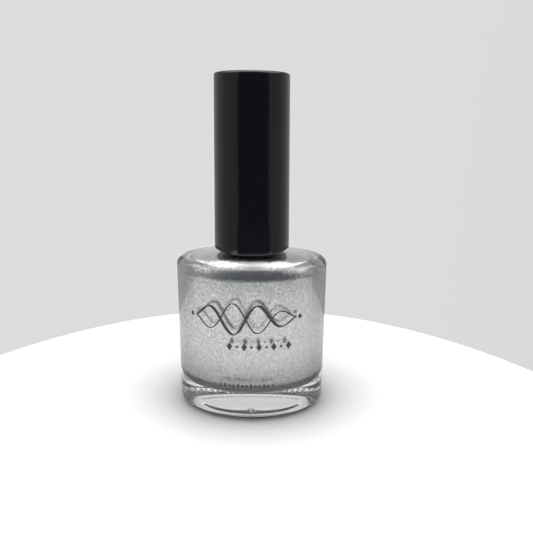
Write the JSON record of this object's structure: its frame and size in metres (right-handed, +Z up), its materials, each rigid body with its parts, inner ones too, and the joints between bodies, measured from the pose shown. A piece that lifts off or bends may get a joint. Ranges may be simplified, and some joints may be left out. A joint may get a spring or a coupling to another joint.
{
  "type": "nail polish bottle",
  "caption": "Oval clear-glass bottle of silver nail lacquer with a tall tapered glossy black screw cap that carries the brush",
  "frame": {"origin": "centre of the flat ring the bottle stands on, on the neck axis", "axes": "+Z up along the neck and cap, -Y toward the printed front face, +X to the right of that face along the oval's long axis"},
  "size_m": [0.0402, 0.024, 0.0856],
  "materials": {
    "clear_glass": "clear flint glass, fire polished, smooth",
    "silver_lacquer": "silver metallic lacquer with very fine flake, wet against the glass",
    "ball_steel": "small polished stainless balls",
    "black_gloss": "high gloss black moulding",
    "black_matte": "plain satin moulding",
    "stem_plastic": "satin polyethylene",
    "bristle_nylon": "fine nylon filaments",
    "anchor_metal": "plain bright wire"
  },
  "bodies": {
    "bottle": {"glass_bottle": "clear_glass", "lacquer_fill": "silver_lacquer"},
    "ball_left": {"mixing_ball_left": "ball_steel"},
    "ball_right": {"mixing_ball_right": "ball_steel"},
    "brush": {"brush_stem": "stem_plastic", "bristle_tuft": "bristle_nylon", "tuft_anchor": "anchor_metal"},
    "cap": {"overcap": "black_gloss", "inner_cap": "black_matte"}
  },
  "joints": [
    {"name": "brush_rise", "type": "slide", "parent": "bottle", "child": "brush", "axis": [0, 0, 1], "range_m": [0, 0.05295]},
    {"name": "cap_twist", "type": "hinge", "parent": "brush", "child": "cap", "pos_m": [0, 0, 0.0582], "axis": [0, 0, 1], "range_deg": [0, 9000]},
    {"name": "ball_left_roll", "type": "slide", "parent": "bottle", "child": "ball_left", "axis": [1, 0, 0], "range_m": [-0.0044, 0.003]},
    {"name": "ball_right_roll", "type": "slide", "parent": "bottle", "child": "ball_right", "axis": [1, 0, 0], "range_m": [-0.003, 0.0044]}
  ],
  "couplings": [
    {"joint": "brush_rise", "follows": "cap_twist", "m_per_rad": 0.00033693}
  ]
}
